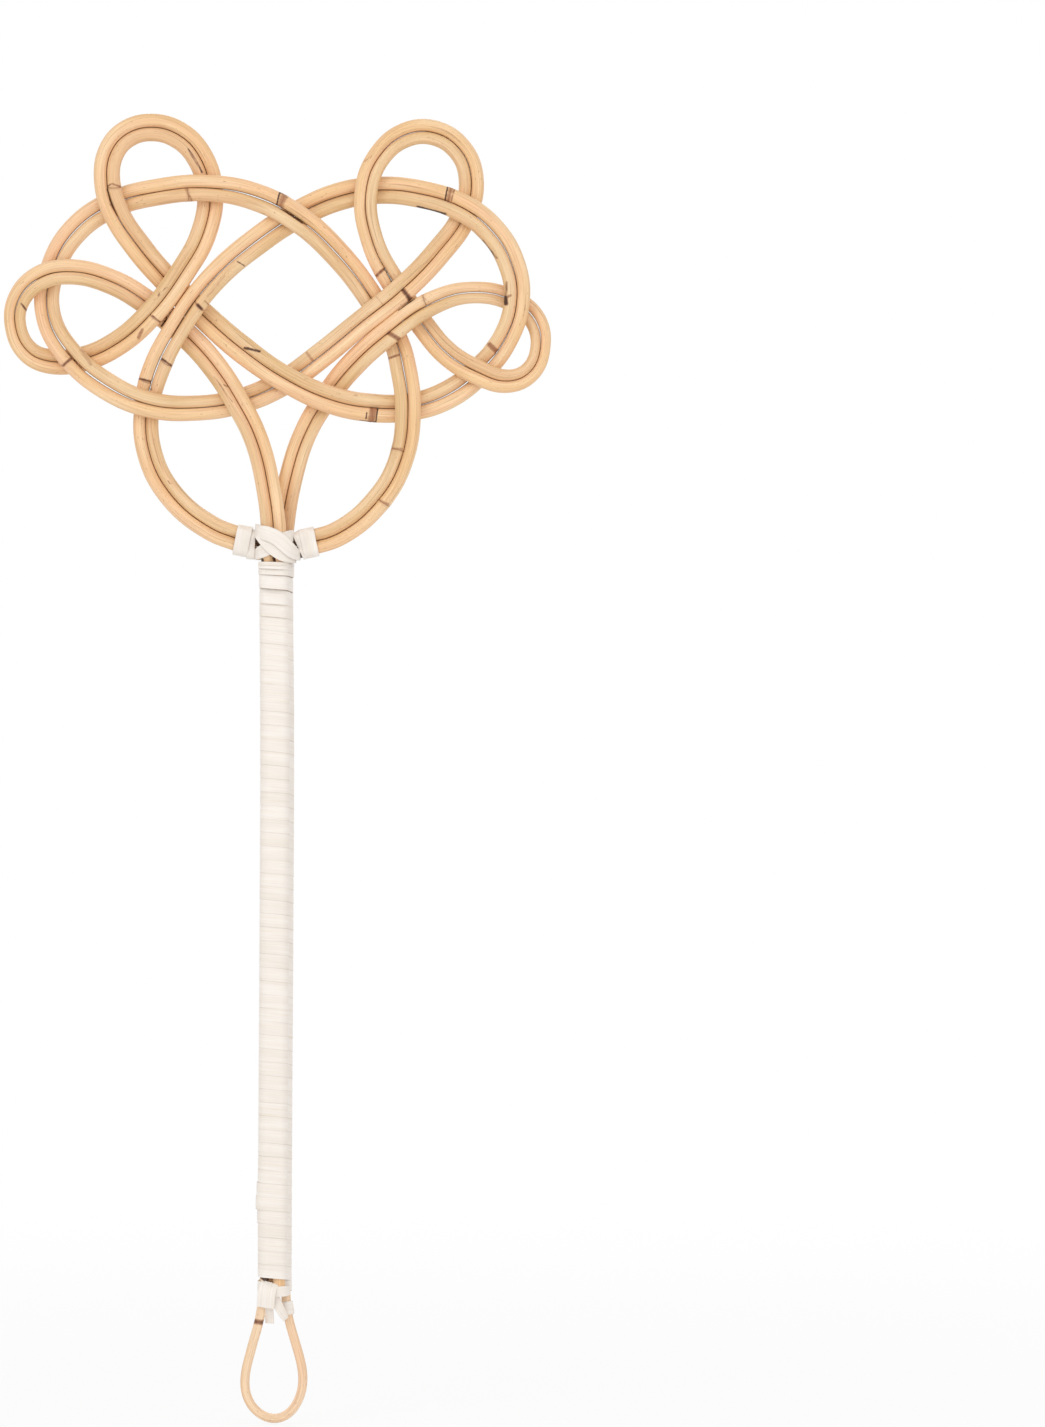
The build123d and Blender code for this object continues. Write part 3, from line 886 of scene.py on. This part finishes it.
# %% Crossed lashing
rising_rows = [
    (276, 545, 11), (262, 552.5, 10.7), (257.4, 554, 6, 0.8), (257.4, 554.3, -7.5, 0.76),
    (260.6, 553.2, -10.7, 0.9), (266.5, 550.2, -11), (276, 544.4, -11.2), (286, 538.8, -11),
    (290.6, 536.6, -8, 0.85), (291.6, 536.6, 6, 0.8), (288, 538, 10.7), (276, 545, 11.6),
]
steep_rows = [
    (276, 546, 12.2), (262, 535, 11.8), (257.2, 531, 6, 0.8), (257.4, 530.6, -8, 0.8),
    (260.8, 532.4, -12, 0.95), (266.2, 539.6, -12.5), (275.4, 549.2, -12.6), (286, 555.6, -12.2),
    (292.5, 557, -9, 0.8), (294.5, 557, 5, 0.7), (289, 554, 11.8), (276, 547, 12.8),
]
shallow_rows = [
    (276, 543, 13.4), (262, 534.5, 13), (258, 532, 7, 0.8), (258.2, 532.2, -9.5, 0.8),
    (262.6, 532.9, -13, 0.95), (271.5, 535.2, -13.7), (280.6, 540, -13.8), (286.8, 546.2, -13.6),
    (291.8, 551.6, -12.5, 0.93), (297, 554.4, -8.5, 0.76), (298.6, 554.4, 5, 0.7), (289, 552, 13),
    (276, 545, 14),
]
rising_width = 6.8 * mm
falling_width = 7.4 * mm
rising_lashing = laid_strip("rising_turn", rising_rows, rising_width, 9)
falling_lashing = joined(
    "falling_turns",
    laid_strip("steep_turn", steep_rows, falling_width, 15),
    laid_strip("shallow_turn", shallow_rows, falling_width, 8),
)
print("lashings", falling_lashing.name, rising_lashing.name)

# %% [markdown]
# At the handle's foot a last piece of strip goes round the two legs of the hanging loop. Its end is
# folded down in front and hangs out a little. One piece slants across the right leg, and a narrow one
# is wound round that leg alone.

# %% Base binding
base_turns = 1.1
base_rows = [1284.5, 1286, 1289, 1290]
base_width = 5.6 * mm
base_wave = 1.4 * mm
base_padding = 0.15 * mm
base_slant = 0.15
base_growth = 0.02
leg_turn_count = 3
leg_turn_row = 1305.5
leg_turn_rows = 4.2
leg_turn_width = 2.6 * mm
leg_padding = 0.1 * mm
leg_slant = 0.3
front_width = 5.3 * mm
fold_width = 9 * mm
end_width = 4.8 * mm
leg_places = loop_line[loop_line[:, 2] > up(1330)]
left_leg_places = leg_places[leg_places[:, 0] < 0]
right_leg_places = leg_places[leg_places[:, 0] > 0]


def leg_at(places, height):
    """Where a leg of the hanging loop is at a height, seen along the handle."""
    nearest = places[np.argmin(np.abs(places[:, 2] - height))]
    return nearest[0], nearest[1]


def base_ring(done):
    height = up(np.interp(done, range(len(base_rows)), base_rows)) + math.cos(math.tau * done) * base_wave
    circles = [leg_at(left_leg_places, height), leg_at(right_leg_places, height)]
    points = outline(circles, loop_radius + base_padding, outline_points) * (1 + base_growth * done)
    return points, up_way * height, side_way - up_way * base_slant, back_way, up_way


def leg_ring(done):
    height = up(leg_turn_row + leg_turn_rows * done)
    points = outline([leg_at(right_leg_places, height)], loop_radius + leg_padding, outline_points)
    return points, up_way * height, side_way + up_way * leg_slant, back_way, up_way


foot_turns = wound_strip("foot_turns", base_turns, lambda done: base_width, base_ring, seed=12, hand=-1)
leg_turns = wound_strip("leg_turns", leg_turn_count, lambda done: leg_turn_width, leg_ring, seed=13)
front_rows = [
    (262, 1290.6, -5.6), (270, 1290.6, -6.5), (282, 1290.4, -6.4), (288.4, 1290, -4, 0.95),
    (288.8, 1290, 3, 0.8),
]
fold_rows = [(270.2, 1281.5, -5), (267.8, 1287, -7.2), (266.6, 1298, -7.4), (266, 1306.5, -6.4)]
tail_rows = [(268, 1300, -4.6), (269, 1308, -3.6), (269.5, 1316, -2), (270, 1323, -1.5)]
slant_rows = [(274.5, 1294, -5.4), (278.2, 1304, -6), (282.6, 1312, -5.4, 0.9), (286, 1318.5, -3.5, 0.7)]
base_binding = joined(
    "foot_binding", foot_turns, leg_turns, laid_strip("front", front_rows, front_width, 20),
    laid_strip("fold", fold_rows, fold_width, 14), laid_strip("slant", slant_rows, end_width, 19),
    laid_strip("tail", tail_rows, end_width, 18),
)
print("foot binding's vertices", len(base_binding.data.vertices))

# %% [markdown]
# A finish is a tree of nodes. Drawing its maths node by node is slow to read, so a small class stands
# for the output of a node: adding or multiplying two of them adds the Math node that does it. Every
# other node comes from one method.

# %% Shader maths in plain expressions


class Value:
    """An output of a finish's nodes, on which sums can be written."""

    def __init__(self, finish, socket):
        self.finish = finish
        self.socket = socket

    def maths(self, operation, first, second, clamp=False):
        settings = {"operation": operation, "use_clamp": clamp}
        return self.finish.node("Math", settings, {0: first, 1: second})

    def __add__(self, other):
        return self.maths("ADD", self, other)

    def __radd__(self, other):
        return self.maths("ADD", other, self)

    def __sub__(self, other):
        return self.maths("SUBTRACT", self, other)

    def __rsub__(self, other):
        return self.maths("SUBTRACT", other, self)

    def __mul__(self, other):
        return self.maths("MULTIPLY", self, other)

    def clipped(self):
        return self.maths("ADD", self, 0, clamp=True)

    def size(self):
        return self.maths("ABSOLUTE", self, 0)


class Finish:
    """A material and the means to add nodes to it."""

    def __init__(self, name):
        self.material = bpy.data.materials.new(name)
        self.material.use_nodes = True
        self.tree = self.material.node_tree
        self.surface = self.tree.nodes["Principled BSDF"]

    def node(self, kind, settings=None, inputs=None, output=0):
        made = self.tree.nodes.new("ShaderNode" + kind)
        for name, value in (settings or {}).items():
            setattr(made, name, value)
        for name, value in (inputs or {}).items():
            self.put(value, made.inputs[name])
        return Value(self, made.outputs[output])

    def put(self, value, socket):
        if isinstance(value, Value):
            self.tree.links.new(value.socket, socket)
        else:
            socket.default_value = value

    def attribute(self, name, output="Fac"):
        return self.node("Attribute", {"attribute_name": name}, output=output)

    def grain(self, vector, scale, detail=2.0, roughness=0.5):
        stretched = self.node("VectorMath", {"operation": "MULTIPLY"}, {0: vector, 1: scale})
        return self.node("TexNoise", None, {
            "Vector": stretched, "Scale": 1.0, "Detail": detail, "Roughness": roughness,
        })

    def between(self, value, low, high):
        """0 below low, 1 above high, and a soft step from one to the other."""
        return self.node("MapRange", {"interpolation_type": "SMOOTHSTEP"}, {
            "Value": value, "From Min": low, "From Max": high,
        })

    def mixed(self, share, first, second):
        return self.node("Mix", {"data_type": "RGBA"}, {0: share, 6: first, 7: second}, output=2)


def tone(red, green, blue):
    """A colour as a picture shows it, from 0 to 255, as the linear colour that a shader takes."""
    linear = []
    for value in (red, green, blue):
        share = value / 255
        linear.append(share / 12.92 if share <= 0.04045 else ((share + 0.055) / 1.055) ** 2.4)
    return (*linear, 1.0)


print("a pale tone is", [round(value, 3) for value in tone(246, 209, 170)])

# %% [markdown]
# Cane with its skin on is pale tan, with long fine fibres, pinker and yellower stretches, and a few
# thin brown streaks and specks. The pattern follows each vertex's place on the straightened cane, so
# the fibres run along every bend. Joints and scars come from the numbers that the mesh keeps, and so
# does painted shade: dark marks deep in the lashing's holes, and a darker flank on each cane along
# the seam where it meets its partner.

# %% Cane finish


def cane_finish(name, pale, deep, blush, streak_share):
    finish = Finish(name)
    straight = finish.attribute("straight", "Vector")
    fibre = finish.grain(straight, (1600, 1600, 35), detail=3, roughness=0.6)
    stretch = finish.grain(straight, (130, 130, 22), detail=2)
    patch = finish.grain(straight, (60, 60, 9), detail=1)
    vein = finish.grain(straight, (520, 520, 16), detail=2)
    thin = finish.grain(straight, (900, 900, 28), detail=1)
    speck = finish.grain(straight, (1500, 1500, 420), detail=1)
    colour = finish.mixed(finish.between(stretch, 0.32, 0.68), pale, deep)
    colour = finish.mixed(finish.between(patch, 0.5, 0.72) * 0.55, colour, blush)
    colour = finish.mixed(finish.between(vein, 0.45, 0.7) * 0.5, colour, blush)
    colour = finish.mixed(finish.between(vein, 0.3, 0.5) * -0.35 + 0.35, colour, deep)
    colour = finish.mixed(finish.between(fibre, 0.35, 0.75) * 0.4, colour, tone(178, 128, 84))
    streak = finish.between(thin, 0.66 - streak_share, 0.78 - streak_share)
    colour = finish.mixed(streak * 0.4, colour, tone(150, 100, 62))
    colour = finish.mixed(finish.between(speck, 0.7, 0.78) * 0.5, colour, tone(140, 92, 60))
    ring = finish.attribute("from_ring").size()
    halo = 1 - finish.between(ring, 0.0004, 0.0016)
    line = 1 - finish.between(ring, 0.00012, 0.0004)
    colour = finish.mixed(halo * 0.22, colour, tone(170, 112, 80))
    colour = finish.mixed(line * 0.55, colour, tone(120, 74, 46))
    ragged = finish.grain(straight, (700, 700, 300), detail=2)
    brown = finish.between(finish.attribute("brown") + ragged * 0.5 - 0.25, 0.2, 0.85)
    # dark marks hold the real dark scars and also painted shade, the near-black of cane deep in the holes of
    # the bindings
    dark = finish.between(finish.attribute("dark") + ragged * 0.4 - 0.2, 0.25, 0.7)
    colour = finish.mixed(brown * 0.85, colour, tone(160, 104, 72))
    colour = finish.mixed(dark * 0.95, colour, tone(66, 40, 28))
    # painted shade: the flank of each cane that faces its partner is darkened, as shade along the seam
    # between the pair
    painted_seam_shade = finish.between(finish.attribute("to_partner"), 0.88, 1.0)
    colour = finish.mixed(painted_seam_shade * 0.85, colour, tone(120, 74, 36))
    finish.put(colour, finish.surface.inputs["Base Color"])
    finish.put(0.42 + fibre * 0.16 + brown * 0.15, finish.surface.inputs["Roughness"])
    height = fibre * 0.5 + thin * 0.35 - brown * 0.3 - dark * 0.6 - line * 0.4
    bump = finish.node("Bump", None, {"Height": height, "Strength": 0.35, "Distance": 0.0002})
    finish.put(bump, finish.surface.inputs["Normal"])
    finish.surface.inputs["IOR"].default_value = 1.45
    return finish.material


outer_finish = cane_finish("pale_cane", tone(252, 219, 176), tone(244, 202, 150), tone(250, 198, 158), 0.0)
inner_finish = cane_finish("darker_cane", tone(245, 213, 170), tone(230, 192, 140), tone(243, 196, 154), 0.02)
loop_finish = cane_finish("loop_cane", tone(253, 226, 192), tone(245, 208, 168), tone(248, 208, 176), 0.01)
print("cane finishes", outer_finish.name, inner_finish.name, loop_finish.name)

# %% [markdown]
# The strip is split from under the cane's skin. It is nearly white, a little silky, with fine fibres
# along its length, and some turns are greyer or yellower than others. Its edges are darker here and
# there, partly from dirt on the cut edges and partly as painted shade in the lines between turns.

# %% Strip finish


def strip_finish(name, pale, grey, warm):
    finish = Finish(name)
    strip = finish.attribute("strip", "Vector")
    fibre = finish.grain(strip, (45, 2600, 1.7), detail=3, roughness=0.6)
    patch = finish.grain(strip, (24, 160, 3.1), detail=2)
    streak = finish.grain(strip, (20, 900, 5.3), detail=1)
    colour = finish.mixed(finish.between(patch, 0.35, 0.7), pale, grey)
    colour = finish.mixed(finish.between(streak, 0.58, 0.76) * 0.5, colour, warm)
    colour = finish.mixed(finish.between(fibre, 0.4, 0.75) * 0.22, colour, tone(200, 182, 160))
    # the edges are darkened here and there: partly dirt on the cut edges, partly painted shade in the lines
    # between turns
    edge = finish.between((finish.attribute("share") * 2 - 1).size(), 0.9, 1.0)
    colour = finish.mixed(edge * finish.between(patch, 0.3, 0.65) * 0.36, colour, tone(150, 126, 100))
    finish.put(colour, finish.surface.inputs["Base Color"])
    finish.put(0.38 + fibre * 0.2, finish.surface.inputs["Roughness"])
    height = fibre * 0.6 + streak * 0.4
    bump = finish.node("Bump", None, {"Height": height, "Strength": 0.3, "Distance": 0.00015})
    finish.put(bump, finish.surface.inputs["Normal"])
    return finish.material


pale_strip = strip_finish("pale_strip", tone(247, 240, 232), tone(241, 232, 222), tone(241, 227, 208))
print("strip finish", pale_strip.name)

# %% [markdown]
# The floor has its own finish. It is pale and matt, and mixed with a plain glow that only the camera
# and reflections see. The glow is a little weaker near the beater, so that its shadow shows.

# %% Floor finish
floor_finish = Finish("floor")
floor_finish.surface.inputs["Base Color"].default_value = (0.9, 0.9, 0.9, 1)
floor_finish.surface.inputs["Roughness"].default_value = 0.9
glow = floor_finish.node("Emission", None, {"Color": (1, 1, 1, 1), "Strength": 1.0}, output=0)
path = floor_finish.node("LightPath", None, None, output="Is Camera Ray")
shiny = Value(floor_finish, path.socket.node.outputs["Is Glossy Ray"])
place = floor_finish.node("TexCoord", output="Object")
away = floor_finish.node("VectorMath", {"operation": "LENGTH"}, {0: place}, output="Value")
glow_share = 0.82 + floor_finish.between(away, 0.3, 1.4) * 0.18
seen_share = (path + shiny).clipped() * glow_share
blend = floor_finish.tree.nodes.new("ShaderNodeMixShader")
floor_finish.put(seen_share, blend.inputs[0])
floor_finish.tree.links.new(floor_finish.surface.outputs[0], blend.inputs[1])
floor_finish.tree.links.new(glow.socket, blend.inputs[2])
floor_finish.tree.links.new(blend.outputs[0], floor_finish.tree.nodes["Material Output"].inputs["Surface"])
floor.data.materials.append(floor_finish.material)
print("floor finished")

# %% [markdown]
# Now each piece gets its finish, rides on the beater and stands for its solid.

# %% Pieces on the frame


def dress(thing, material, slot, *nodes):
    thing.data.materials.clear()
    thing.data.materials.append(material)
    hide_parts(*nodes)
    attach(thing, "root")


for node, thing in canes.items():
    thing.name = node.replace("cane", "strand")
    outer = "outer" in node
    dress(thing, outer_finish if outer else inner_finish, "outer_cane" if outer else "inner_cane", node)
dress(hanging_loop, loop_finish, "loop_cane", "hanging_loop")
for thing, node in (
    (grip_winding, "grip_winding"), (throat_binding, "throat_binding"),
    (left_collar, "left_collar"), (right_collar, "right_collar"),
    (falling_lashing, "falling_lashing"), (rising_lashing, "rising_lashing"), (base_binding, "base_binding"),
):
    dress(thing, pale_strip, "strip", node)

# %% [markdown]
# Last, the colours are shown through the Standard view.

# %% Colour view, and the end
bpy.context.scene.view_settings.view_transform = "Standard"
